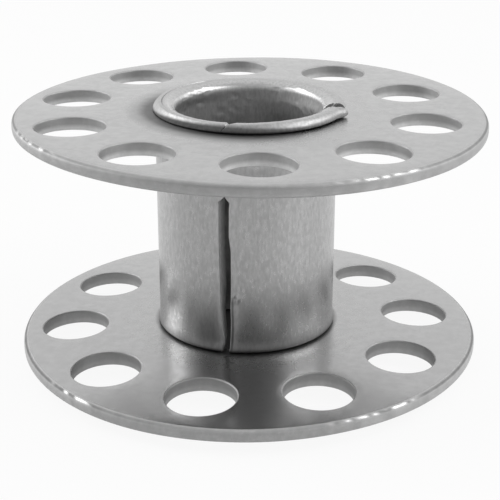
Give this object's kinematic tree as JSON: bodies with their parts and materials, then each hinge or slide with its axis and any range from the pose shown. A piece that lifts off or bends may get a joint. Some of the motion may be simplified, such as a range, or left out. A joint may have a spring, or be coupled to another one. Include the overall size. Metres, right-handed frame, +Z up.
{
  "type": "sewing machine bobbin",
  "caption": "Metal sewing machine bobbin: a rolled steel tube with an open seam, riveted through two flat flanges that each have a ring of round holes.",
  "frame": {"origin": "on the winding axis, in the plane of the lower lip's crest, which the bobbin stands on", "axes": "+Z up along the winding axis; -Y is the front, where the seam of the tube is, a little to the left"},
  "size_m": [0.0204, 0.0204, 0.0115],
  "materials": {
    "tube_steel": "rolled strip steel with a thin satin plating, mottled along the barrel",
    "flange_steel": "punched sheet steel, tumbled and satin plated"
  },
  "bodies": {
    "root": {"core_tube": "tube_steel", "upper_flange": "flange_steel", "lower_flange": "flange_steel"}
  },
  "joints": []
}
